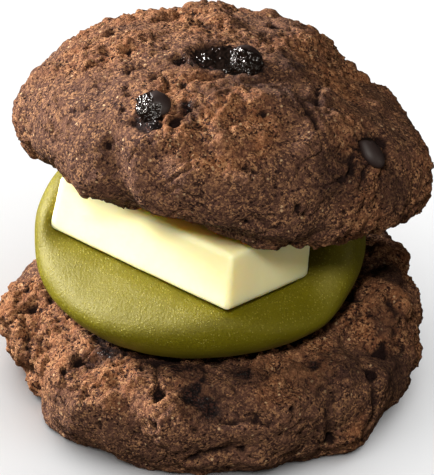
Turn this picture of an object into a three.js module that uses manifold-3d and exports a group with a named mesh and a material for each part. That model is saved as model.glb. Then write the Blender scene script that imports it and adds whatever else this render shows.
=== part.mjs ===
// A scone sandwich: two craggy chocolate scone halves, a flattened ball of matcha bean
// paste and a thick slab of butter. Millimetres, +Z up. The viewer stands at -Y, with +X
// to the right, and the origin is under the middle of the whole, on the surface below it.
//
// Each scone half is a bun form, bulged and dented by named lumps, ridged and creased along
// named folds, and roughened by smooth lattice noise. The paste is a flattened ball, pressed
// down by the butter, and the upper half lies on both, leaning back.

import * as THREE from "three";
import { mergeVertices } from "three/addons/utils/BufferGeometryUtils.js";
import { RoundedBoxGeometry } from "three/addons/geometries/RoundedBoxGeometry.js";
import { ImprovedNoise } from "three/addons/math/ImprovedNoise.js";
import Module from "manifold-3d";

const wasm = await Module();
wasm.setup();

// ---------------------------------------------------------------- driving dimensions
const GAP = 0.3; // kept between two pieces that touch
const CUT_SIZE = 200; // of a block that cuts a piece flat
const SEAT_FACETS = 7; // of the ball that shapes the paste's seat
const SAME_PLACE = 1e-4; // vertices closer than this are one

// A bun's radius is at its widest level, and is longer from front to back by the share
// `deep`. top and bottom are its heights above and below that level before it is cut flat,
// and the powers say how boxy the side is there.
const BOTTOM = {
  place: [0, 0, 10.5],
  tilt: [0, 0, 0],
  radius: 36.0,
  deep: 1.0,
  top: 8.0,
  topPower: 3.2,
  bottom: 17.5,
  bottomPower: 2.6,
  flatAt: -10.5, // the baked foot, below the widest level
  heart: -9, // the level that relief grows from
  facets: 15,
  noiseAt: [11.3, 4.7, 23.9],
};
const TOP = {
  place: [2.6, 3.0, 44.9],
  tilt: [-8, 6.5, 0], // leans back, and its right side hangs lower
  radius: 34.8,
  deep: 1.03,
  top: 18.9,
  topPower: 2.15,
  bottom: 10.2,
  bottomPower: 2.0,
  flatAt: -7.8,
  heart: -3,
  facets: 16,
  noiseAt: [57.1, 31.9, 8.3],
};
const PASTE = {
  place: [-2.0, -0.4, 28.0],
  radius: 28.2,
  half: 14,
  power: 2.4,
  facets: 9,
  pressSoft: 3.2, // how gently the pressed part under the butter rounds into the side
  pressFall: [0.45, 0.02], // how it falls away from the butter, evenly and ever faster
  pressEnd: [-1, 5], // where it fades past the butter's far side, and sooner by the
  pressShort: 2, // following past its far end
};
const BUTTER = {
  corner: [2.6, -27.7, 30.5], // the near bottom corner
  turn: 50, // of its short edges, from +X towards +Y
  lean: 10.4, // its far long side is lower, sunk in the paste
  length: 39.5,
  width: 21.7,
  height: 10.3,
  round: 0.8,
  roundSteps: 2,
  taper: [0.6, 1.3], // how far its near and far ends lean in at the top
};

// The roughness: smooth swells, then billows, whose round bumps meet in sharp valleys.
const SWELL = { wave: 17, depth: 1.3 };
const BILLOWS = [
  { wave: 8.5, depth: 2.4 },
  { wave: 4.4, depth: 1.3 },
];
const BILLOW_MEAN = 0.18; // of a billow, so that it neither swells nor shrinks the bun
const LEAST_SLOPE = 0.6; // between a line from the heart and the way out of the form

// Places on a bun are headings in degrees: turned clockwise from the front as seen from
// above, then up towards the crown. A lump has a width and a height, below 0 in a hollow.
const BOTTOM_LUMPS = [
  { at: [117, 30], wide: 9, high: 1.9 }, // the shoulder at the back right
  { at: [88, 32], wide: 5, high: -1.4 },
  { at: [82, 3], wide: 5, high: -1.2 },
  { at: [82, 46], wide: 5.5, high: 2.2 }, // a rocky block on the right
  { at: [60, 40], wide: 4, high: -2.8 }, // the cavity beside it
  { at: [-112, 28], wide: 11, high: -1.5 },
  { at: [-64, -2], wide: 8, high: -2.6 },
  { at: [-77, -18], wide: 7, high: -1.6 },
  { at: [-86, -36], wide: 5, high: 0.7 },
  { at: [-48, -36], wide: 6, high: 1.0 },
  { at: [-84, 8], wide: 8, high: 0.8 },
  { at: [68, -12], wide: 7, high: 0.6 },
  { at: [56, -24], wide: 4, high: -0.9 },
  { at: [1, -30], wide: 9, high: -1.4 },
  { at: [46, -26], wide: 5, high: 0.9 },
  { at: [30, -30], wide: 6, high: -0.9 },
  { at: [-38, -29], wide: 5, high: -0.8 },
  { at: [-3, 37], wide: 4, high: -1.5 }, // where chocolate melted
  { at: [2, 46], wide: 3, high: 0.9 },
  { at: [-11, 34], wide: 3.4, high: 0.9 },
  { at: [-19, 46], wide: 4, high: 0.8 },
  { at: [-45, 42], wide: 2.6, high: -1.4 },
];
const TOP_LUMPS = [
  { at: [100, 48], wide: 13, high: -5.6 }, // broken away at the back right
  { at: [76, 50], wide: 5, high: -2.6 },
  { at: [126, 30], wide: 9, high: -3.2 },
  { at: [74, 31], wide: 6, high: -1.8 },
  { at: [2, 36], wide: 13, high: 2.2 }, // the big front lobe
  { at: [-3, 68], wide: 6.5, high: -2.6 }, // the valley behind it
  { at: [-26, 52], wide: 5, high: -1.2 },
  { at: [-34, 37], wide: 3, high: -1.4 },
  { at: [-62, -12], wide: 8, high: -2.2 },
  { at: [-76, -26], wide: 5, high: -2.0 },
  { at: [-33, -12], wide: 9, high: -3.0 },
  { at: [-8, -16], wide: 9, high: -4.0 },
  { at: [-17, -3], wide: 4, high: 0.9 },
  { at: [7, -26], wide: 5.5, high: -2.7 }, // its rim is higher where the butter's top shows
  { at: [24, -19], wide: 5, high: -1.8 },
  { at: [-26, -40], wide: 8, high: -3.6 }, // its underside clears the butter's top
  { at: [-90, 18], wide: 8, high: 0.9 },
  { at: [-108, 30], wide: 7, high: -1.5 },
  { at: [-172, 50], wide: 10, high: -1.0 },
  { at: [-163, 56], wide: 4.5, high: 1.8 }, // the crag on top
  { at: [66, -3], wide: 8, high: 0.5 },
  { at: [-82, -18], wide: 5, high: 1.2 },
  { at: [92, 12], wide: 6, high: -1.4 },
  { at: [117, 20], wide: 3.5, high: 1.2 }, // a crag beside the notch
  { at: [124, 33], wide: 3, high: -1.5 },
  { at: [-138, 55], wide: 6, high: -1.4 },
];

// A fold runs over a bun through a path of headings: a ridge, or a crease where its
// height is below 0.
const BOTTOM_FOLDS = [
  { path: [[-80, 36], [-68, 26], [-60, 2]], wide: 1.7, high: -1.7 },
  { path: [[1, 28], [8, 26], [16, 27]], wide: 1.3, high: -1.7 },
  { path: [[-6, -12], [2, -8], [9, -6]], wide: 1.6, high: -1.3 },
  { path: [[36, 34], [34, 22]], wide: 1.6, high: -1.3 },
  { path: [[60, 40], [66, 20], [64, 2]], wide: 1.8, high: -1.6 },
  { path: [[96, 52], [104, 22]], wide: 1.8, high: -1.5 },
];
const TOP_FOLDS = [
  { path: [[-24, 41], [-15, 50], [-6, 56], [14, 58], [26, 51], [31, 43]], wide: 2.6, high: 1.3 },
  { path: [[-31, 36], [-31, 22], [-27, 4], [-26, -8]], wide: 2.3, high: 1.2 },
  { path: [[-38, 24], [-34, 8], [-32, -4]], wide: 2.4, high: -1.3 },
  { path: [[-17, 34], [-15, 18]], wide: 2.2, high: 0.8 },
  { path: [[36, 40], [30, 14]], wide: 2.2, high: -0.9 },
];

// Half-sunk chocolate: heading, half sizes across, up the slope and out, and how far its
// middle stands off the surface.
const CHIP_FACETS = 2;
const CHIPS = [
  { at: [4, 76], size: [3.0, 2.6, 1.9], off: 0.2 },
  { at: [-22, 70], size: [4.2, 1.9, 1.2], off: -0.1 },
  { at: [-32, 45], size: [2.8, 2.6, 2.2], off: 0.3 },
  { at: [45, 31], size: [1.3, 2.3, 1.1], off: 0.1 },
];

const LOOKS = {
  scone: { color: 0x6b4a38, roughness: 0.85, metalness: 0 },
  paste: { color: 0x76691e, roughness: 0.38, metalness: 0 },
  butter: { color: 0xf8ebbf, roughness: 0.42, metalness: 0 },
};

// ---------------------------------------------------------------- forms
const radians = THREE.MathUtils.degToRad;
const lattice = new ImprovedNoise();

function noise(p, wave, offset) {
  const [a, b, c] = offset;
  return lattice.noise(p.x / wave + a, p.y / wave + b, p.z / wave + c);
}

// The direction from a bun's middle that is turned clockwise from the front, and raised.
function heading(turn, up) {
  const side = Math.cos(radians(up));
  return new THREE.Vector3(
    side * Math.sin(radians(turn)),
    -side * Math.cos(radians(turn)),
    Math.sin(radians(up)),
  );
}

// The point of the bun form in a heading.
function formPoint(bun, dir) {
  const [height, power] = dir.z >= 0 ? [bun.top, bun.topPower] : [bun.bottom, bun.bottomPower];
  const flat = Math.hypot(dir.x, dir.y);
  const size = (flat ** power + Math.abs(dir.z) ** power) ** (1 / power);
  const deep = bun.radius * bun.deep;
  return new THREE.Vector3(dir.x * bun.radius, dir.y * deep, dir.z * height).divideScalar(size);
}

// The way out of the bun at a point of its form.
function formNormal(bun, p) {
  const height = p.z >= 0 ? bun.top : bun.bottom;
  const out = new THREE.Vector3(p.x / bun.radius ** 2, p.y / bun.radius ** 2, p.z / height ** 2);
  return out.normalize();
}

function lumpsAt(p, lumps) {
  let sum = 0;
  for (const { at, wide, high } of lumps) {
    sum += high * Math.exp(-p.distanceToSquared(at) / (wide * wide));
  }
  return sum;
}

function foldsAt(p, folds) {
  const near = new THREE.Vector3();
  let sum = 0;
  for (const { lines, wide, high } of folds) {
    let away = Infinity;
    for (const line of lines) {
      line.closestPointToPoint(p, true, near);
      away = Math.min(away, near.distanceTo(p));
    }
    sum += high * Math.exp(-((away / wide) ** 2));
  }
  return sum;
}

function roughness(p, offset) {
  let sum = SWELL.depth * noise(p, SWELL.wave, offset);
  for (const { wave, depth } of BILLOWS) {
    sum += depth * (Math.abs(noise(p, wave, offset)) - BILLOW_MEAN);
  }
  return sum;
}

// The scone half's surface in its own frame, with the widest level at z = 0. Every point
// moves on a line from the bun's heart, so the surface never folds over itself.
function sconeSurface(bun, lumps, folds) {
  const placedLumps = lumps.map((lump) => ({ ...lump, at: formPoint(bun, heading(...lump.at)) }));
  const placedFolds = folds.map(({ path, ...rest }) => {
    const points = path.map((at) => formPoint(bun, heading(...at)));
    return { lines: points.slice(1).map((end, i) => new THREE.Line3(points[i], end)), ...rest };
  });
  return (dir) => {
    const p = formPoint(bun, dir);
    const raise = lumpsAt(p, placedLumps) + foldsAt(p, placedFolds) + roughness(p, bun.noiseAt);
    const outward = p.clone().setZ(p.z - bun.heart).normalize();
    const slope = Math.max(LEAST_SLOPE, outward.dot(formNormal(bun, p)));
    return p.addScaledVector(outward, raise / slope);
  };
}

// ---------------------------------------------------------------- meshes and solids
function bareIndexed(geometry) {
  for (const name of Object.keys(geometry.attributes)) {
    if (name !== "position") geometry.deleteAttribute(name);
  }
  return mergeVertices(geometry, SAME_PLACE);
}

// A ball of even triangles with every vertex moved by a function of its direction.
function moulded(facets, surface) {
  const ball = bareIndexed(new THREE.IcosahedronGeometry(1, facets));
  const place = ball.attributes.position;
  for (let i = 0; i < place.count; i++) {
    const p = surface(new THREE.Vector3().fromBufferAttribute(place, i).normalize());
    place.setXYZ(i, p.x, p.y, p.z);
  }
  return ball;
}

function toSolid(geometry, matrix = new THREE.Matrix4()) {
  const placed = bareIndexed(geometry.clone()).applyMatrix4(matrix);
  return new wasm.Manifold(
    new wasm.Mesh({
      numProp: 3,
      vertProperties: new Float32Array(placed.attributes.position.array),
      triVerts: new Uint32Array(placed.index.array),
    }),
  );
}

function toGeometry(solid) {
  const { vertProperties, triVerts } = solid.getMesh();
  const geometry = new THREE.BufferGeometry();
  geometry.setAttribute("position", new THREE.BufferAttribute(vertProperties, 3));
  geometry.setIndex(new THREE.BufferAttribute(triVerts, 1));
  geometry.computeVertexNormals();
  return geometry;
}

function placing({ place, tilt }) {
  const turn = new THREE.Euler(...tilt.map(radians));
  return new THREE.Matrix4().makeRotationFromEuler(turn).setPosition(...place);
}

function mesh(name, solid, look) {
  const part = new THREE.Mesh(toGeometry(solid), new THREE.MeshStandardMaterial(look));
  part.name = name;
  return part;
}

// ---------------------------------------------------------------- the butter
function butterMatrix() {
  const { corner, turn, lean } = BUTTER;
  return new THREE.Matrix4()
    .makeTranslation(...corner)
    .multiply(new THREE.Matrix4().makeRotationZ(radians(turn)))
    .multiply(new THREE.Matrix4().makeRotationY(radians(lean)));
}

function butterGeometry(grow) {
  const { length, width, height, round, roundSteps, taper } = BUTTER;
  const size = [width, length, height].map((side) => side + 2 * grow);
  const block = new RoundedBoxGeometry(...size, roundSteps, round + grow);
  block.translate(width / 2, length / 2, height / 2);
  const place = block.attributes.position;
  for (let i = 0; i < place.count; i++) {
    const along = place.getY(i) / length;
    const shift = THREE.MathUtils.lerp(taper[0], -taper[1], along) * (place.getZ(i) / height);
    place.setY(i, place.getY(i) + shift);
  }
  return block;
}

// ---------------------------------------------------------------- the paste
// The point of the unpressed ball in a direction from its middle, grown by a distance.
function pasteBall(dir, grow = 0) {
  const { place, radius, half, power } = PASTE;
  const flat = Math.hypot(dir.x, dir.y);
  const size = (flat ** power + Math.abs(dir.z) ** power) ** (1 / power);
  const p = dir.clone().multiply(new THREE.Vector3(radius + grow, radius + grow, half + grow));
  return p.divideScalar(size).add(new THREE.Vector3(...place));
}

// A flattened ball, pressed down under the butter and in front of it.
function pasteSurface(dir) {
  const { pressSoft, pressFall, pressEnd, pressShort } = PASTE;
  const q = pasteBall(dir).applyMatrix4(butterMatrix().invert());
  const front = Math.hypot(Math.max(0, -q.x), Math.max(0, -q.y));
  const level = -GAP - pressFall[0] * front - pressFall[1] * front ** 2;
  const pressed = -pressSoft * Math.log(Math.exp(-q.z / pressSoft) + Math.exp(-level / pressSoft));
  const beyond = Math.max(q.x - BUTTER.width, q.y - BUTTER.length + pressShort);
  const share = 1 - THREE.MathUtils.smoothstep(beyond, ...pressEnd);
  q.z += share * (pressed - q.z);
  return q.applyMatrix4(butterMatrix());
}

// ---------------------------------------------------------------- the chocolate
function chipSolid({ at, size, off }) {
  const dir = heading(...at);
  const out = formNormal(TOP, formPoint(TOP, dir));
  const across = new THREE.Vector3(0, 0, 1).cross(out).normalize();
  const upSlope = out.clone().cross(across);
  const middle = topSurface(dir).addScaledVector(out, off);
  const turn = new THREE.Matrix4().makeBasis(across, upSlope, out).setPosition(middle);
  const chip = new THREE.IcosahedronGeometry(1, CHIP_FACETS).scale(...size);
  return toSolid(chip, placing(TOP).multiply(turn));
}

// ---------------------------------------------------------------- assembly
// A block that takes away all that lies above or below a level of a bun's own frame.
function levelCut(bun, level, above) {
  const block = new THREE.BoxGeometry(CUT_SIZE, CUT_SIZE, CUT_SIZE);
  block.translate(0, 0, level + (above ? 0.5 : -0.5) * CUT_SIZE);
  return toSolid(block, placing(bun));
}

const bottomSurface = sconeSurface(BOTTOM, BOTTOM_LUMPS, BOTTOM_FOLDS);
const topSurface = sconeSurface(TOP, TOP_LUMPS, TOP_FOLDS);

const butter = toSolid(butterGeometry(0), butterMatrix());
const butterSeat = toSolid(butterGeometry(GAP), butterMatrix());

const paste = toSolid(moulded(PASTE.facets, pasteSurface))
  .subtract(butterSeat)
  .subtract(levelCut(TOP, TOP.flatAt - GAP, true));
const pasteSeat = toSolid(moulded(SEAT_FACETS, (dir) => pasteBall(dir, GAP)));

const bottomScone = toSolid(moulded(BOTTOM.facets, bottomSurface), placing(BOTTOM))
  .subtract(levelCut(BOTTOM, BOTTOM.flatAt, false))
  .subtract(pasteSeat);

const topBun = toSolid(moulded(TOP.facets, topSurface), placing(TOP))
  .subtract(levelCut(TOP, TOP.flatAt, false))
  .subtract(butterSeat);
const topScone = CHIPS.reduce((scone, chip) => scone.add(chipSolid(chip)), topBun);

const group = new THREE.Group();
group.add(
  mesh("bottom_scone", bottomScone, LOOKS.scone),
  mesh("matcha_paste", paste, LOOKS.paste),
  mesh("butter_slab", butter, LOOKS.butter),
  mesh("top_scone", topScone, LOOKS.scone),
);

const extent = new THREE.Box3().setFromObject(group);
const middle = extent.getCenter(new THREE.Vector3());
group.position.set(-middle.x, -middle.y, -extent.min.z);

export default group;
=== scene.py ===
"""The looks of a scone sandwich: chocolate scone halves, matcha bean paste and butter.

The scene is in metres, +Z up, seen from -Y with +X to the right. Sizes and waves in this
script are in millimetres unless a name says otherwise, and a mark that shows in the
photograph has its place there, in pixels of the 434 x 475 frame.
"""

import math

import bpy
import numpy as np
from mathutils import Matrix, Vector
from mathutils.bvhtree import BVHTree


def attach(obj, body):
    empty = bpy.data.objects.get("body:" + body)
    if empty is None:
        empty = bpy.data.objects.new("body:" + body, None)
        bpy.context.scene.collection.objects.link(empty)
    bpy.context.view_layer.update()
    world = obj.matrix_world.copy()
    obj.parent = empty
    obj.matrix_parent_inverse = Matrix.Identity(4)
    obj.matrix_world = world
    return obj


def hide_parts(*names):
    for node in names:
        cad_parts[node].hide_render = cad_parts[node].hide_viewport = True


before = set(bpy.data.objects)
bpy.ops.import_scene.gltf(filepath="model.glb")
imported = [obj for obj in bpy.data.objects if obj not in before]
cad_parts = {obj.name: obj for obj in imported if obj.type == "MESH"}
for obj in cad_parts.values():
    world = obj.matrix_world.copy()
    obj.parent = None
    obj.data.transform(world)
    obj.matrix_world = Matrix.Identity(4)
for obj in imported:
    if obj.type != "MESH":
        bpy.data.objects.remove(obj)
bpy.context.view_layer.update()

MM = 0.001  # metres
PHOTO = (434, 475)  # pixels

# Where the random numbers of each piece start. A noise adds its own step to that.
SEEDS = {"paste": 41, "butter": 51, "top": 100, "bottom": 200, "chocolate": 300}
CHIP_SEED_STEP = 10

# ------------------------------------------------------------------ camera
SCALE = 0.17  # millimetres a pixel at the aim
AIM = Vector((1.15, -0.79, 27.0))
DISTANCE = 600
ELEVATION = math.radians(33.5)
SENSOR = 36

FORWARD = Vector((0, math.cos(ELEVATION), -math.sin(ELEVATION)))
UPWARD = Vector((0, math.sin(ELEVATION), math.cos(ELEVATION)))
EYE = AIM - FORWARD * DISTANCE


def add_camera():
    camera = bpy.data.cameras.new("camera")
    camera.sensor_fit = "HORIZONTAL"
    camera.sensor_width = SENSOR
    camera.lens = SENSOR * DISTANCE / (PHOTO[0] * SCALE)
    holder = bpy.data.objects.new("camera", camera)
    holder.location = EYE * MM
    holder.rotation_euler = (math.pi / 2 - ELEVATION, 0, 0)
    bpy.context.scene.collection.objects.link(holder)
    bpy.context.scene.camera = holder


def sight(pixel):
    """The direction from the eye through a pixel of the photograph."""
    right = (pixel[0] - PHOTO[0] / 2) * SCALE
    up = (PHOTO[1] / 2 - pixel[1]) * SCALE
    return (FORWARD * DISTANCE + Vector((right, 0, 0)) + UPWARD * up).normalized()


# ------------------------------------------------------------------ noise
HASH_STEPS = (374761393, 668265263, 1274126177)  # along the three axes of the lattice
HASH_SEED_STEP = 2654435761
HASH_MIXERS = ((15, 739982445), (12, 695872825))  # shift and factor
LOW_BITS = 0xFFFFFFFF
TEN_BITS = 1023
NOISE_GAIN = 1.7  # brings the noise to about -1 to 1


def hashed(cells, seed):
    """Three even random numbers from 0 to 1 for each lattice cell."""
    h = cells.astype(np.int64) @ np.array(HASH_STEPS)
    h = (h + seed * HASH_SEED_STEP) & LOW_BITS
    for shift, factor in HASH_MIXERS:
        h = ((h ^ (h >> shift)) * factor) & LOW_BITS
    h ^= h >> 15
    return np.stack([h & TEN_BITS, (h >> 10) & TEN_BITS, (h >> 20) & TEN_BITS], axis=-1) / TEN_BITS


def noise(points, wave, seed):
    """Smooth noise from about -1 to 1, with bumps about a wave apart."""
    places = points / wave
    cells = np.floor(places)
    part = places - cells
    ease = part**3 * (part * (part * 6 - 15) + 10)
    total = np.zeros(len(points))
    for corner in np.ndindex(2, 2, 2):
        slope = hashed(cells + corner, seed) * 2 - 1
        weight = np.prod(np.where(corner, ease, 1 - ease), axis=1)
        total += weight * np.einsum("ij,ij->i", slope, part - corner)
    return total * NOISE_GAIN


def waves_at(points, waves, seed):
    """The sum at each point of some noises, each given by its wave and its depth."""
    total = np.zeros(len(points))
    for number, (wave, depth) in enumerate(waves):
        total += depth * noise(points, wave, seed + number)
    return total


def scattered(points, spacing, seed):
    """The distance in millimetres to the nearest of many scattered dots about a spacing
    apart, and two random numbers that belong to that dot."""
    places = points / spacing
    cells = np.floor(places)
    nearest = np.full(len(points), np.inf)
    own = np.zeros((len(points), 2))
    for step in np.ndindex(3, 3, 3):
        cell = cells + step - 1
        away = np.linalg.norm(cell + hashed(cell, seed) - places, axis=1)
        closer = away < nearest
        nearest[closer] = away[closer]
        own[closer] = hashed(cell[closer], seed + 1)[:, :2]
    return nearest * spacing, own


def smoothstep(value, low, high):
    """0 up to low, 1 from high on, and smooth between."""
    t = np.clip((value - low) / (high - low), 0, 1)
    return t * t * (3 - 2 * t)


# ------------------------------------------------------------------ meshes
SOFTENING = 0.5  # how far each round of smoothing moves a vertex towards its neighbours


def fine_copy(node, name, voxel, rounds):
    """An evenly and finely meshed copy of a node, smoothed, which stands for it."""
    piece = bpy.data.objects.new(name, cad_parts[node].data.copy())
    bpy.context.scene.collection.objects.link(piece)
    even = piece.modifiers.new("even", "REMESH")
    even.mode = "VOXEL"
    even.voxel_size = voxel * MM
    soft = piece.modifiers.new("soft", "SMOOTH")
    soft.factor = SOFTENING
    soft.iterations = rounds
    bake(piece)
    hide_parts(node)
    return piece


def bake(piece):
    """Makes what the modifiers of a piece give its own mesh."""
    dressed = piece.evaluated_get(bpy.context.evaluated_depsgraph_get())
    mesh = bpy.data.meshes.new_from_object(dressed)
    piece.modifiers.clear()
    piece.data = mesh
    mesh.name = piece.name


def rounded(piece, weights, rounds):
    """Rounds a piece off, by a weight from 0 to 1 for each vertex."""
    group = piece.vertex_groups.new(name="rounded")
    for number, weight in enumerate(weights):
        group.add([number], weight, "REPLACE")
    soft = piece.modifiers.new("soft", "SMOOTH")
    soft.vertex_group = group.name
    soft.factor = SOFTENING
    soft.iterations = rounds
    bake(piece)
    piece.vertex_groups.clear()


def read(mesh, what):
    """One of the vectors that a mesh has for each vertex, as rows of an array."""
    values = np.empty(len(mesh.vertices) * 3, np.float32)
    mesh.vertices.foreach_get(what, values)
    return values.reshape(-1, 3).astype(float)


def points_of(piece):
    """The places of the vertices, in millimetres."""
    return read(piece.data, "co") / MM


def normals_of(piece):
    return read(piece.data, "normal")


def move(piece, points):
    """Puts the vertices at these places, in millimetres."""
    piece.data.vertices.foreach_set("co", (points * MM).astype(np.float32).ravel())
    piece.data.update()


def keep(piece, name, values):
    """Stores a number for each vertex, for the material to read."""
    layer = piece.data.attributes.new(name, "FLOAT", "POINT")
    layer.data.foreach_set("value", values.astype(np.float32))


def tree_of(piece):
    """The surface of a piece, in millimetres, for rays and nearest points."""
    points = [Vector(p) for p in points_of(piece)]
    return BVHTree.FromPolygons(points, [tuple(f.vertices) for f in piece.data.polygons])


def seen(tree, pixel):
    """The point of a surface that shows at a pixel, or the one nearest to the sight line."""
    way = sight(pixel)
    hit = tree.ray_cast(EYE, way)[0]
    return hit or tree.find_nearest(EYE + way * DISTANCE)[0]


def clearance(points, trees):
    """How far each point is from the nearest of these surfaces."""
    return np.array([min(tree.find_nearest(p)[3] for tree in trees) for p in points])


def away_from_mark(tree, points, pixel):
    """How far each point is from the place on a surface that shows at a pixel."""
    return np.linalg.norm(points - np.array(seen(tree, pixel)), axis=1)


def away_from_line(points, line):
    """How far each point is from a line through a list of places."""
    nearest = np.full(len(points), np.inf)
    for start, end in zip(line, line[1:]):
        start, along = np.array(start), np.array(end) - np.array(start)
        share = np.clip((points - start) @ along / (along @ along), 0, 1)
        away = np.linalg.norm(points - start - share[:, None] * along, axis=1)
        nearest = np.minimum(nearest, away)
    return nearest


def chip_frame(tree, pixel):
    """The place on the crust of a piece of chocolate, and its ways across, up the slope and
    out."""
    place = seen(tree, pixel)
    out = tree.find_nearest(place)[1]
    across = Vector((0, 0, 1)).cross(out).normalized()
    return np.array(place), np.array([across, out.cross(across), out])


def dress(piece, material):
    """Gives a finished piece its material, and its body in the part."""
    piece.data.materials.clear()
    piece.data.materials.append(material)
    for face in piece.data.polygons:
        face.use_smooth = True
    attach(piece, "root")


# ------------------------------------------------------------------ materials
class Material:
    """A node material. Its methods add nodes and return their outputs."""

    def __init__(self, name):
        self.made = bpy.data.materials.new(name)
        self.made.use_nodes = True
        self.tree = self.made.node_tree
        self.shader = self.tree.nodes["Principled BSDF"]
        self.place = self.tree.nodes.new("ShaderNodeTexCoord").outputs["Object"]

    def node(self, kind, inputs, **settings):
        """A new node, with its settings made and its inputs filled."""
        made = self.tree.nodes.new("ShaderNode" + kind)
        for name, value in settings.items():
            setattr(made, name, value)
        self.fill(made, inputs)
        return made

    def fill(self, node, inputs):
        """Links each input to a socket, or sets it to a value."""
        for name, value in inputs.items():
            if isinstance(value, bpy.types.NodeSocket):
                self.tree.links.new(value, node.inputs[name])
            else:
                node.inputs[name].default_value = value

    def noise(self, wave, detail=3, roughness=0.6):
        """Cloudy noise from 0 to 1."""
        inputs = {"Vector": self.place, "Scale": 1 / (wave * MM)}
        inputs.update({"Detail": detail, "Roughness": roughness})
        return self.node("TexNoise", inputs).outputs["Fac"]

    def dots(self, spacing, shift=0.0, warp=0.0):
        """The distance to scattered dots in units of their spacing, and a number for each
        from 0 to 1. In millimetres, a shift moves them and a warp makes them uneven."""
        place = self.place
        if warp:
            inputs = {"Vector": place, "Scale": 1 / (2 * spacing * MM), "Detail": 2}
            bend = self.node("TexNoise", inputs).outputs["Color"]
            inputs = {0: bend, 1: (warp * MM,) * 3, 2: place}
            place = self.node("VectorMath", inputs, operation="MULTIPLY_ADD").outputs[0]
        inputs = {0: place, 1: (shift * MM,) * 3}
        shifted = self.node("VectorMath", inputs, operation="ADD").outputs[0]
        made = self.node("TexVoronoi", {"Vector": shifted, "Scale": 1 / (spacing * MM)})
        own = self.node("SeparateColor", {0: made.outputs["Color"]}).outputs[0]
        return made.outputs["Distance"], own

    def kept(self, name):
        """A number that is stored for each vertex."""
        return self.node("Attribute", {}, attribute_name=name).outputs["Fac"]

    def math(self, operation, *values):
        return self.node("Math", dict(enumerate(values)), operation=operation).outputs[0]

    def band(self, value, low, high, start=0.0, end=1.0):
        """start up to low, end from high on, and smooth between."""
        inputs = {"Value": value, "From Min": low, "From Max": high, "To Min": start, "To Max": end}
        return self.node("MapRange", inputs, interpolation_type="SMOOTHSTEP").outputs[0]

    def mix(self, share, first, second):
        """A colour between two, the first where the share is 0 and the second where it is 1."""
        inputs = {0: share, 6: first, 7: second}
        return self.node("Mix", inputs, data_type="RGBA").outputs[2]

    def bump(self, height, depth, below=None):
        """Bumps of a depth in millimetres, on top of the bumps below."""
        inputs = {"Height": height, "Distance": depth * MM, "Strength": 1.0}
        if below:
            inputs["Normal"] = below
        return self.node("Bump", inputs).outputs[0]


def colour(red, green, blue):
    return (red, green, blue, 1.0)


# ------------------------------------------------------------------ scones
CRUMB_VOXEL = 0.392
CRUMB_ROUNDS = 19
CONTACT = 0.12  # the least left between the crumb and what it touches
CONTACT_GROOVE = 0.6  # how far the crumb falls back beside what it touches
GROOVE_REACH = (0.35, 2.0)  # the distances over which it does

# Torn lumps, which meet in sharp valleys, and fissures between them.
MEAN_LOSS = 0.1  # so that lumps and grains don't swell the whole
TORN_WAVES = ((15, 0.6),)  # wave and amount of what is torn at random
TORN_LIMITS = (-0.35, 0.45)  # the amounts at which the crust is smooth and torn
LUMPS = ((6.0, 0.95), (3.2, 0.75), (1.8, 0.52))  # wave and depth
LUMP_MEAN = 0.27  # the mean height of a lump, as a share of its depth
LUMP_LEAST = 0.25  # the share of the lumps that is left where the crust is smooth
FISSURES = ((9.0, 0.08, 0.6), (4.2, 0.12, 0.5))  # wave, width as a share of it, depth
FISSURE_GAPS = 1.3  # the wave of the gaps in a fissure, as a share of its own
FISSURE_LIMITS = (-0.1, 0.35)  # the noise at which it is shut and open

# How uneven the marks below are, and how their depths end.
CRACK_EDGE = ((1.9, 0.45),)  # wave and depth
PIT_STRETCH = ((1.2, 0.5),)  # wave, and the share by which a pit is wider or narrower
PIT_EDGE = ((0.8, 0.3),)  # wave and depth
PIT_WALL = (0.45, 1.25)  # from its floor to its rim, in widths of the pit
PATCH_EDGE = ((1.6, 0.9), (0.8, 0.5))  # wave and depth
PATCH_FADE = (0.5, 1.15)  # from where it is whole to where it ends, in its widths

# Burst bubbles and grains.
BUBBLES = ((4.6, 0.35, 0.42, 0.8), (2.3, 0.3, 0.30, 0.5))  # spacing, share, width, depth
BUBBLE_LEAST = 0.5  # the smallest, in widths; the largest is a width more
BUBBLE_WALL = (0.3, 1.3)  # from its floor to its rim, in its own size
GRAINS = ((1.5, 0.50), (0.85, 0.42))  # spacing and height
GRAIN_WAVE = (1.1, 0.35)  # wave and depth of what makes them and the bubbles uneven
GRAIN_DOME = (0.1, 0.62)  # from its top to its edge, in spacings
GRAIN_LEAST = 0.45  # the share of the height that is left where the crust is smooth
GRAIN_MEAN = 0.3  # the random number at which a grain is level with the crust
GRAIN_TONE = 1.6  # how much more the grains count in the relief that paints shade in the crumb's hollows and light on its tops

BED_DEPTH = 0.9  # how far the crumb is sunk under a piece of chocolate
BED_EDGE = (0.75, 1.15)  # where that ends, in half sizes of the piece
BED_REACH = 4.0  # how deep the bed's edge runs into the crumb

# Marks that show in the photograph. A pit has its pixel, width and depth, and a crack has
# the pixels of its path, its width and its depth.
TOP_PITS = [
    ((110, 32), 1.1, 1.0), ((128, 49), 1.0, 1.0), ((277, 25), 1.5, 1.3), ((86, 108), 0.7, 0.5),
    ((107, 145), 0.8, 1.2), ((298, 208), 0.8, 0.8), ((153, 75), 0.7, 0.9), ((129, 89), 1.0, 0.5),
    ((175, 121), 1.2, 1.8), ((197, 89), 1.2, 0.9), ((186, 109), 0.8, 0.8), ((278, 87), 1.0, 1.6),
    ((342, 114), 0.7, 0.9), ((306, 215), 0.8, 0.7), ((398, 174), 0.6, 0.7), ((180, 58), 1.5, 1.6),
    ((335, 62), 1.3, 1.2), ((263, 112), 0.9, 0.8), ((246, 165), 0.6, 0.7), ((196, 186), 0.7, 0.6),
    ((200, 207), 0.7, 0.7), ((381, 140), 0.9, 1.0), ((400, 150), 0.7, 0.6), ((255, 170), 0.9, 0.8),
]
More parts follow.
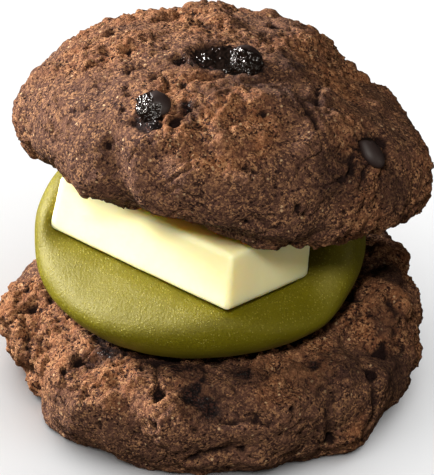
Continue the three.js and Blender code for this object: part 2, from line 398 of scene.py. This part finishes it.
TOP_CRACKS = [
    ([(133, 122), (147, 127), (160, 124)], 0.9, 1.3),
    ([(319, 84), (317, 95), (320, 106)], 0.8, 1.1),
    ([(300, 98), (312, 112), (318, 126)], 0.7, 0.9),
    ([(353, 160), (352, 171), (343, 182)], 0.6, 0.8),
    ([(364, 122), (372, 131), (385, 140), (389, 156), (380, 174)], 0.7, 1.0),
    ([(62, 118), (72, 112), (84, 109)], 0.5, 0.5),
    ([(270, 20), (282, 26), (296, 28)], 0.7, 0.9),
]
BOTTOM_PITS = [
    ((79, 362), 1.1, 1.5), ((47, 361), 0.8, 0.8), ((65, 369), 0.8, 1.0), ((53, 296), 1.3, 1.0),
    ((32, 306), 1.2, 0.9), ((158, 393), 1.3, 1.6), ((153, 428), 0.8, 1.0), ((195, 430), 0.8, 1.0),
    ((98, 426), 0.8, 0.7), ((142, 365), 0.8, 1.0), ((379, 352), 1.8, 2.0), ((366, 348), 0.7, 0.8),
    ((295, 409), 0.8, 0.9), ((290, 383), 0.8, 0.8), ((281, 438), 0.6, 0.6), ((276, 456), 0.6, 0.6),
    ((371, 371), 1.3, 1.5), ((331, 442), 1.2, 1.2), ((86, 391), 0.9, 0.6), ((403, 321), 0.8, 0.9),
]
BOTTOM_CRACKS = [
    ([(24, 319), (28, 333), (25, 347), (25, 368)], 0.5, 1.0),
    ([(371, 368), (374, 388), (377, 408), (371, 425)], 0.7, 0.9),
    ([(335, 395), (328, 415), (331, 440)], 0.8, 0.7),
    ([(325, 374), (322, 389)], 0.6, 0.7),
    ([(218, 422), (232, 420), (250, 419), (268, 423)], 0.55, 0.9),
    ([(185, 463), (205, 454), (220, 451), (241, 451)], 0.6, 0.9),
    ([(389, 300), (400, 322), (396, 338)], 0.6, 0.8),
]

# Where the crust is more torn, or smoother where the amount is below 0: the pixel, width
# and amount.
TOP_TORN = [
    ((240, 130), 9, 0.7), ((120, 42), 7, 0.5), ((210, 20), 6, 0.5), ((335, 80), 6, 0.5),
    ((70, 140), 9, -0.6), ((150, 190), 7, -0.5), ((300, 190), 10, -0.4), ((230, 220), 8, -0.3),
    ((200, 110), 5, 0.6), ((95, 90), 6, -0.3),
]
BOTTOM_TORN = [
    ((38, 312), 9, 1.0), ((110, 370), 6, 0.5), ((380, 320), 6, 0.7), ((180, 380), 6, 0.5),
    ((230, 445), 9, -0.6), ((310, 430), 8, -0.4), ((80, 420), 7, -0.4), ((390, 400), 7, -0.5),
    ((290, 380), 6, 0.4),
]

# Where chocolate melted into the crumb, and where the crumb is darker, partly stains and partly
# painted shade: pixels and widths.
TOP_MELTS = [
    ((200, 60), 2.4), ((220, 62), 2.8), ((240, 62), 2.8), ((258, 64), 2.2), ((183, 58), 1.6),
    ((152, 121), 1.9), ((140, 114), 1.3), ((186, 104), 1.4), ((375, 146), 2.0),
]
BOTTOM_MELTS = [
    ((190, 394), 2.0), ((203, 405), 2.3), ((212, 414), 1.8), ((198, 386), 1.6), ((158, 393), 1.2),
    ((105, 350), 1.7), ((190, 367), 1.7), ((174, 366), 1.2), ((243, 373), 1.8), ((314, 368), 1.4),
]
TOP_STAINS_AND_SHADE = [
    ((240, 82), 5.0), ((212, 88), 4.0), ((186, 112), 2.8), ((278, 88), 4.0), ((322, 106), 4.5),
    ((374, 146), 4.5), ((290, 60), 4.0), ((340, 175), 6.0), ((395, 190), 5.0),
]
BOTTOM_STAINS_AND_SHADE = [
    ((200, 402), 5.0), ((105, 352), 3.0), ((188, 370), 3.5), ((250, 372), 4.5), ((310, 374), 5.0),
    ((82, 362), 2.5), ((340, 360), 5.0), ((396, 366), 6.0), ((384, 272), 6.0), ((388, 318), 4.0),
]


def patches(tree, points, marks, seed):
    """How far each point lies in one of some uneven patches, from 0 to 1."""
    share = np.zeros(len(points))
    edge = waves_at(points, PATCH_EDGE, seed)
    for pixel, wide in marks:
        away = (away_from_mark(tree, points, pixel) + edge) / wide
        share = np.maximum(share, 1 - smoothstep(away, *PATCH_FADE))
    return share


def tearing(tree, points, marks, seed):
    """How torn the crust is at each point, from 0 to 1."""
    torn = waves_at(points, TORN_WAVES, seed)
    for pixel, wide, amount in marks:
        torn += amount * np.exp(-(away_from_mark(tree, points, pixel) / wide) ** 2)
    return smoothstep(torn, *TORN_LIMITS)


def lumps(points, torn, seed):
    """The height of the lumps and fissures at each point."""
    rise = np.full(len(points), -MEAN_LOSS)
    for wave, depth in LUMPS:
        lump = np.abs(noise(points, wave, seed + 3)) - LUMP_MEAN
        rise += depth * lump * (LUMP_LEAST + torn)
    for wave, width, depth in FISSURES:
        line = np.abs(noise(points, wave, seed + 5))
        gate = smoothstep(noise(points, FISSURE_GAPS * wave, seed + 6), *FISSURE_LIMITS)
        rise -= depth * gate * (1 - smoothstep(line, 0, width))
    return rise


def dents(tree, points, cracks, pits, beds, seed):
    """The depth at each point of the cracks, the pits and the beds of the chocolate."""
    depth = np.zeros(len(points))
    edge = waves_at(points, CRACK_EDGE, seed + 7)
    for path, wide, deep in cracks:
        away = away_from_line(points, [seen(tree, pixel) for pixel in path]) + edge
        depth += deep * np.exp(-(np.maximum(away, 0) / wide) ** 2)
    stretch = 1 + waves_at(points, PIT_STRETCH, seed + 9)
    edge = waves_at(points, PIT_EDGE, seed + 10)
    for pixel, wide, deep in pits:
        away = (away_from_mark(tree, points, pixel) * stretch + edge) / wide
        depth += deep * (1 - smoothstep(away, *PIT_WALL))
    for pixel, size in beds:
        place, ways = chip_frame(tree, pixel)
        local = (points - place) @ ways.T / (size[0], size[1], BED_REACH)
        depth += BED_DEPTH * (1 - smoothstep(np.linalg.norm(local, axis=1), *BED_EDGE))
    return depth


def grains(points, torn, seed):
    """The height at each point of the grains, and of the pits that burst bubbles left."""
    wave, depth = GRAIN_WAVE
    uneven = [noise(points, wave, seed + 13 + axis) for axis in range(3)]
    places = points + depth * np.stack(uneven, axis=1)
    rise = np.zeros(len(points))
    for spacing, share, wide, deep in BUBBLES:
        away, own = scattered(places, spacing, seed + 20)
        size = wide * (BUBBLE_LEAST + own[:, 1])
        rise -= (own[:, 0] < share) * deep * (1 - smoothstep(away / size, *BUBBLE_WALL))
    for spacing, high in GRAINS:
        away, own = scattered(places, spacing, seed + 30)
        dome = 1 - smoothstep(away / spacing, *GRAIN_DOME)
        rise += high * (GRAIN_LEAST + torn) * (own[:, 0] - GRAIN_MEAN) * dome
    return rise


def crumb(name, node, marks, neighbours, material, seed):
    """A scone half: its node's form with torn lumps, cracks, pits and grains of crumb."""
    pits, cracks, melts, stains_and_shade, rough, beds = marks
    piece = fine_copy(node, name, CRUMB_VOXEL, CRUMB_ROUNDS)
    tree = tree_of(piece)
    points, normals = points_of(piece), normals_of(piece)
    room = clearance(points, neighbours)
    torn = tearing(tree, points, rough, seed)
    rise = lumps(points, torn, seed) - CONTACT_GROOVE * (1 - smoothstep(room, *GROOVE_REACH))
    rise -= dents(tree, points, cracks, pits, beds, seed)
    melt = patches(tree, points, melts, seed + 11)
    # darker patches, partly stains and partly painted shade
    stain_and_shade = patches(tree, points, stains_and_shade, seed + 15)
    points += normals * np.minimum(rise, room - CONTACT)[:, None]
    move(piece, points)

    fine = grains(points, torn, seed)
    room = np.maximum(room - rise, 0)
    points += normals_of(piece) * np.minimum(fine, room - CONTACT)[:, None]
    points[:, 2] = np.maximum(points[:, 2], 0)
    move(piece, points)

    # the relief gives the material its painted shade in hollows and its painted highlight on tops
    keep(piece, "relief", rise + GRAIN_TONE * fine)
    keep(piece, "melt", melt)
    keep(piece, "torn", torn)
    keep(piece, "stain_and_shade", stain_and_shade)
    dress(piece, material)
    return piece


# Tones of the crumb, the darker one first where there are two.
CRUST = (colour(0.082, 0.038, 0.026), colour(0.118, 0.055, 0.036))  # browned and smooth
RUST = (colour(0.145, 0.060, 0.033), colour(0.21, 0.080, 0.034))  # torn open
WET = (colour(0.006, 0.003, 0.003), colour(0.045, 0.017, 0.012))  # under melted chocolate
GOLDEN = colour(0.37, 0.190, 0.090)  # the lightest grains
COCOA_AND_PORE_SHADE = colour(0.020, 0.008, 0.007)  # the darkest grains, and the painted shade in pores
FLAKE = colour(0.45, 0.29, 0.16)
# darker patches, partly stains and partly painted shade
STAIN_AND_SHADE_TONE = colour(0.026, 0.012, 0.010)
# painted shade in the hollows of the relief
PAINTED_HOLLOW_SHADE = colour(0.014, 0.006, 0.005)
# painted highlight where the relief stands up
PAINTED_RIDGE_LIGHT = colour(0.28, 0.125, 0.058)


def crumb_material():
    m = Material("crumb")
    relief, melt, torn, stain_and_shade = m.kept("relief"), m.kept("melt"), m.kept("torn"), m.kept("stain_and_shade")

    # the browned crust, and redder crumb where it is torn
    crust = m.mix(m.band(m.noise(wave=9, detail=4), 0.35, 0.65), *CRUST)
    rust = m.mix(m.band(m.noise(wave=4), 0.4, 0.6), *RUST)
    base = m.mix(m.band(torn, 0.1, 0.9), crust, rust)

    # grains of sand size, each with a tone of its own, in clumps of lighter and darker ones
    sand_away, sand_tone = m.dots(spacing=0.30, warp=0.25)
    clump = m.band(m.noise(wave=1.2, detail=4, roughness=0.7), 0.3, 0.7, -0.2, 0.2)
    tone = m.math("ADD", sand_tone, clump)
    patchy = m.band(m.noise(wave=2.6), 0.35, 0.6, 0.5, 1.2)
    contrast = m.math("MULTIPLY", m.band(torn, 0, 1, 0.7, 1.0), patchy)
    light = m.math("MULTIPLY", m.band(tone, 0.45, 1.1), contrast)
    dark = m.math("MULTIPLY", m.band(tone, 0.55, -0.05), contrast)
    grained = m.mix(dark, m.mix(light, base, GOLDEN), COCOA_AND_PORE_SHADE)

    # a few pale flakes, and pores painted dark as shade
    flake_away, flake_own = m.dots(spacing=1.1, shift=7, warp=0.4)
    pale = m.math("MULTIPLY", m.band(flake_away, 0.28, 0.14), m.band(flake_own, 0.82, 0.88))
    pore_away, pore_own = m.dots(spacing=0.95, shift=11, warp=0.5)
    painted_pore_shade = m.math("MULTIPLY", m.band(pore_away, 0.34, 0.14), m.band(pore_own, 0.5, 0.6))
    porous = m.mix(painted_pore_shade, m.mix(pale, grained, FLAKE), COCOA_AND_PORE_SHADE)

    # darker in stained patches, which are partly painted shade, painted shade where it is sunk, a
    # painted highlight where it stands up, and wet with chocolate
    stained_and_shaded = m.mix(m.band(stain_and_shade, 0, 1, 0, 0.6), porous, STAIN_AND_SHADE_TONE)
    sunk = m.mix(m.band(relief, -0.3, -1.1), stained_and_shaded, PAINTED_HOLLOW_SHADE)
    painted_ridge_light = m.mix(m.band(relief, -0.1, 0.6, 0, 0.3), sunk, PAINTED_RIDGE_LIGHT)
    wet = m.mix(m.band(tone, 0.6, 0.9), *WET)
    finish = m.mix(melt, painted_ridge_light, wet)

    coarse = m.bump(m.noise(wave=0.9, detail=5, roughness=0.75), depth=0.75)
    pored = m.bump(painted_pore_shade, depth=-0.3, below=coarse)
    pebbled = m.bump(sand_away, depth=-0.14, below=pored)
    drop_away = m.dots(spacing=0.7, shift=3)[0]
    drops = m.bump(m.math("MULTIPLY", drop_away, drop_away), depth=-0.6)
    inputs = {
        "Base Color": finish,
        "Roughness": 0.85,
        "Specular IOR Level": 0.10,
        "Coat Weight": m.band(melt, 0.3, 0.8, 0, 0.14),
        "Coat Roughness": 0.10,
        "Normal": pebbled,
        "Coat Normal": drops,
    }
    m.fill(m.shader, inputs)
    return m.made


# ------------------------------------------------------------------ chocolate
# Half-sunk pieces on the upper half: the pixel of the middle, the half sizes across, up the
# slope and out, and the grainy side, as a bearing in degrees from its right towards its top
# and how far the grains reach, from -1, nowhere, to 1, all over.
CHIPS = {
    "crown": ((251, 57), (2.8, 3.0, 1.9), 215, 0.45),
    "crown_melted": ((219, 58), (5.4, 4.3, 1.3), 0, 1.3),
    "left": ((151, 103), (3.0, 2.75, 2.3), 215, 0.25),
    "right": ((375, 150), (1.7, 2.9, 1.2), 60, -0.6),
}
CHIP_BALL = 6  # how often the faces of the ball it starts from are divided
CHIP_PROUD = 0.2  # how far a piece stands out of the solid's bump
CHIP_WAVE = 2.4  # of its unevenness
CHIP_UNEVEN = (0.12, 0.30)  # how uneven it is, and how much more so where it is melted
CHIP_SIDE_EDGE = 0.2  # how soft the edge of the grainy side is, in half sizes
CHIP_SIDE_WAVES = ((1.2, 0.25),)  # wave and depth of that edge
CHIP_GRAINS = ((1.0, 0.46), (0.5, 0.26))  # spacing and height
CHIP_GRAIN_RADIUS = 0.62  # in spacings
CHIP_GRAIN_LEAST = 0.4  # the height of the lowest grain, as a share of the highest
CHIP_GRAIN_MEAN = 0.25  # the share of the height that is level with the chocolate
CHOCOLATE = (colour(0.017, 0.009, 0.008), colour(0.007, 0.004, 0.003))  # plain and grainy


def chocolate(name, pixel, size, side, reach, tree, material, seed):
    """A melted drop of chocolate, sunk to its middle in the crumb, sugary on one side."""
    place, ways = chip_frame(tree, pixel)
    bpy.ops.mesh.primitive_ico_sphere_add(subdivisions=CHIP_BALL, radius=1)
    piece = bpy.context.object
    piece.name = piece.data.name = name
    ball = read(piece.data, "co")
    points = (ball * size) @ ways + place - ways[2] * (size[2] - CHIP_PROUD)

    bearing = math.radians(side)
    towards = ball[:, 0] * math.cos(bearing) + ball[:, 1] * math.sin(bearing)
    towards += reach + waves_at(points, CHIP_SIDE_WAVES, seed)
    sugary = smoothstep(towards, -CHIP_SIDE_EDGE, CHIP_SIDE_EDGE)
    even, melted = CHIP_UNEVEN
    rise = (even + melted * max(reach, 0)) * noise(points, CHIP_WAVE, seed + 1)
    for spacing, high in CHIP_GRAINS:
        away, own = scattered(points, spacing, seed + 2)
        dome = np.maximum(1 - (away / (CHIP_GRAIN_RADIUS * spacing)) ** 2, 0)
        share = CHIP_GRAIN_LEAST + (1 - CHIP_GRAIN_LEAST) * own[:, 0]
        rise += sugary * high * (share * dome - CHIP_GRAIN_MEAN)
    points += (ball @ ways) * rise[:, None]
    move(piece, points)
    keep(piece, "sugary", sugary)
    dress(piece, material)


def chocolate_material():
    m = Material("chocolate")
    sugary = m.kept("sugary")
    fine = m.math("MULTIPLY", m.noise(wave=0.3), sugary)
    inputs = {
        "Base Color": m.mix(sugary, *CHOCOLATE),
        "Roughness": m.band(sugary, 0, 1, 0.58, 0.12),
        "Specular IOR Level": 0.35,
        "Normal": m.bump(fine, depth=0.05),
    }
    m.fill(m.shader, inputs)
    return m.made


# ------------------------------------------------------------------ bean paste
PASTE_VOXEL = 0.5
PASTE_ROUNDS = 30
PASTE_ROUNDING = 200  # rounds of smoothing away from the butter
PASTE_FIRM = (0.8, 3.5)  # the distances from the butter over which it gets free to round off
PASTE_SWELL = 0.3  # which makes good what the rounding takes off
PASTE_WAVES = ((13, 0.22), (3.5, 0.05))  # wave and depth of its unevenness
PASTE_RIM = (21.5, 25.5)  # the heights over which its smooth side turns into its grainy top
PASTE = (colour(0.096, 0.083, 0.002), colour(0.122, 0.106, 0.003))
# lighter specks, partly grains of the paste and partly painted sheen on its top
PASTE_SPECK_AND_SHEEN = colour(0.27, 0.24, 0.04)


def paste(name, butter_tree):
    """The ball of bean paste, pressed down under the butter and rounded off around it."""
    piece = fine_copy("matcha_paste", name, PASTE_VOXEL, PASTE_ROUNDS)
    free = smoothstep(clearance(points_of(piece), [butter_tree]), *PASTE_FIRM)
    rounded(piece, free.tolist(), PASTE_ROUNDING)
    points, normals = points_of(piece), normals_of(piece)
    rise = PASTE_SWELL * free + waves_at(points, PASTE_WAVES, SEEDS["paste"])
    points += normals * rise[:, None]
    move(piece, points)
    dress(piece, paste_material())
    return piece


def paste_material():
    m = Material("bean_paste")
    height = m.node("SeparateXYZ", {0: m.place}).outputs["Z"]
    grainy = m.band(height, *(limit * MM for limit in PASTE_RIM))
    away, tone = m.dots(spacing=0.42, warp=0.2)
    # specks, partly grain and partly painted sheen, shown mostly on the top
    speck_and_sheen = m.math("MULTIPLY", m.band(away, 0.42, 0.15), m.band(tone, 0.45, 0.8))
    shown = m.math("MULTIPLY", speck_and_sheen, m.band(grainy, 0, 1, 0.15, 0.7))
    broad = m.mix(m.noise(wave=9), *PASTE)
    fine = m.noise(wave=0.5, detail=4, roughness=0.7)
    rough = m.bump(m.math("MULTIPLY", fine, m.band(grainy, 0, 1, 0.25, 1.0)), depth=0.17)
    inputs = {
        "Base Color": m.mix(shown, broad, PASTE_SPECK_AND_SHEEN),
        "Roughness": 0.48,
        "Specular IOR Level": 0.32,
        "Specular Tint": colour(1.0, 0.92, 0.5),
        "Subsurface Weight": 0.6,
        "Subsurface Radius": (1.0, 0.88, 0.3),
        "Subsurface Scale": 3.0 * MM,
        "Normal": m.bump(shown, depth=0.08, below=rough),
    }
    m.fill(m.shader, inputs)
    return m.made


# ------------------------------------------------------------------ butter
BUTTER_VOXEL = 0.33
BUTTER_ROUNDS = 5
BUTTER_WAVES = ((11, 0.12), (2.8, 0.03))  # wave and depth of its unevenness
BUTTER_CONTACT_SHADE_REACH = (0.2, 0.42)  # the distances from the crumb over which the painted amber shade fades out
BUTTER = (colour(0.97, 0.82, 0.46), colour(0.98, 0.86, 0.51))
# painted amber shade where the crumb touches
AMBER_CONTACT_SHADE = colour(0.92, 0.72, 0.30)


def butter(name, top_tree):
    """The slab of butter, with painted amber shade where the upper half lies on it."""
    piece = fine_copy("butter_slab", name, BUTTER_VOXEL, BUTTER_ROUNDS)
    points, normals = points_of(piece), normals_of(piece)
    rise = waves_at(points, BUTTER_WAVES, SEEDS["butter"])
    points += normals * rise[:, None]
    move(piece, points)
    # painted amber shade, by nearness to the upper half
    keep(piece, "painted_contact_shade", 1 - smoothstep(clearance(points, [top_tree]), *BUTTER_CONTACT_SHADE_REACH))
    dress(piece, butter_material())


def butter_material():
    m = Material("butter")
    # painted amber shade where the upper half touches, with less translucency there
    painted_contact_shade = m.kept("painted_contact_shade")
    pale = m.mix(m.noise(wave=8), *BUTTER)
    inputs = {
        "Base Color": m.mix(painted_contact_shade, pale, AMBER_CONTACT_SHADE),
        "Roughness": 0.38,
        "Specular IOR Level": 0.45,
        "Subsurface Weight": m.band(painted_contact_shade, 0, 1, 1.0, 0.6),
        "Subsurface Radius": (1.0, 0.82, 0.5),
        "Subsurface Scale": 3.5 * MM,
        "Normal": m.bump(m.noise(wave=1.6, roughness=0.5), depth=0.04),
    }
    m.fill(m.shader, inputs)
    return m.made


# ------------------------------------------------------------------ room
# Each light: its bearing, turned clockwise from the front as seen from above, its height in
# degrees, distance and size in metres, power in watts and colour.
LIGHTS = {
    "key": (244, 25, 0.8, 0.20, 26.5, (1.0, 0.97, 0.93)),
    "front_left": (308, 6, 0.8, 0.26, 2.3, (1.0, 0.96, 0.90)),
    "front_top": (350, 46, 0.8, 0.12, 6.0, (1.0, 0.95, 0.87)),
    "right": (58, 16, 0.9, 0.3, 1.6, (1.0, 0.93, 0.80)),
}
FLOOR_LIGHT = {"height": 1.6, "size": 4.0, "power": 92.0}  # metres and watts
FLOOR_SIZE = 6  # metres
WORLD_STRENGTH = 0.02
WHITE = (1.0, 1.0, 1.0)


def add_lamp(name, place, size, power, tint, floor, links):
    """A square lamp aimed at the middle. links says whether it lights only the floor or all
    but the floor, which has an even light of its own."""
    lamp = bpy.data.lights.new(name, "AREA")
    lamp.shape = "SQUARE"
    lamp.size = size
    lamp.energy = power
    lamp.color = tint
    holder = bpy.data.objects.new(name, lamp)
    holder.location = AIM * MM + place
    holder.rotation_euler = place.to_track_quat("Z", "Y").to_euler()
    bpy.context.scene.collection.objects.link(holder)
    linked = bpy.data.collections.new(name)
    linked.objects.link(floor)
    linked.collection_objects[0].light_linking.link_state = links
    holder.light_linking.receiver_collection = linked


def add_lights(floor):
    for name, (bearing, height, distance, size, power, tint) in LIGHTS.items():
        turn, rise = math.radians(bearing), math.radians(height)
        level = math.cos(rise)
        out = Vector((level * math.sin(turn), -level * math.cos(turn), math.sin(rise)))
        add_lamp(name, out * distance, size, power, tint, floor, "EXCLUDE")
    above = Vector((0, 0, FLOOR_LIGHT["height"]))
    size, power = FLOOR_LIGHT["size"], FLOOR_LIGHT["power"]
    add_lamp("floor_light", above, size, power, WHITE, floor, "INCLUDE")


def add_world():
    world = bpy.data.worlds.new("room")
    world.use_nodes = True
    background = world.node_tree.nodes["Background"]
    background.inputs["Color"].default_value = colour(*WHITE)
    background.inputs["Strength"].default_value = WORLD_STRENGTH
    bpy.context.scene.world = world


def add_floor():
    bpy.ops.mesh.primitive_plane_add(size=FLOOR_SIZE)
    floor = bpy.context.object
    floor.name = "floor"
    floor.visible_diffuse = floor.visible_glossy = False
    m = Material("floor")
    inputs = {"Base Color": colour(0.9, 0.9, 0.9), "Roughness": 0.9, "Specular IOR Level": 0.1}
    m.fill(m.shader, inputs)
    floor.data.materials.append(m.made)
    return floor


# ------------------------------------------------------------------ the scene
add_camera()
add_world()
add_lights(add_floor())
bpy.context.scene.view_settings.view_transform = "Standard"

solid_butter = tree_of(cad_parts["butter_slab"])
solid_top = tree_of(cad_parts["top_scone"])
paste_tree = tree_of(paste("bean_paste_ball", solid_butter))

chip_beds = [(pixel, size) for pixel, size, *_ in CHIPS.values()]
top_marks = (TOP_PITS, TOP_CRACKS, TOP_MELTS, TOP_STAINS_AND_SHADE, TOP_TORN, chip_beds)
bottom_marks = (BOTTOM_PITS, BOTTOM_CRACKS, BOTTOM_MELTS, BOTTOM_STAINS_AND_SHADE, BOTTOM_TORN, [])
baked = crumb_material()
filling = [solid_butter, paste_tree]
top = crumb("upper_scone_half", "top_scone", top_marks, filling, baked, SEEDS["top"])
crumb("lower_scone_half", "bottom_scone", bottom_marks, [paste_tree], baked, SEEDS["bottom"])
butter("butter_pat", tree_of(top))

melted = chocolate_material()
for number, (name, form) in enumerate(CHIPS.items()):
    seed = SEEDS["chocolate"] + CHIP_SEED_STEP * number
    chocolate("chocolate_" + name, *form, solid_top, melted, seed)
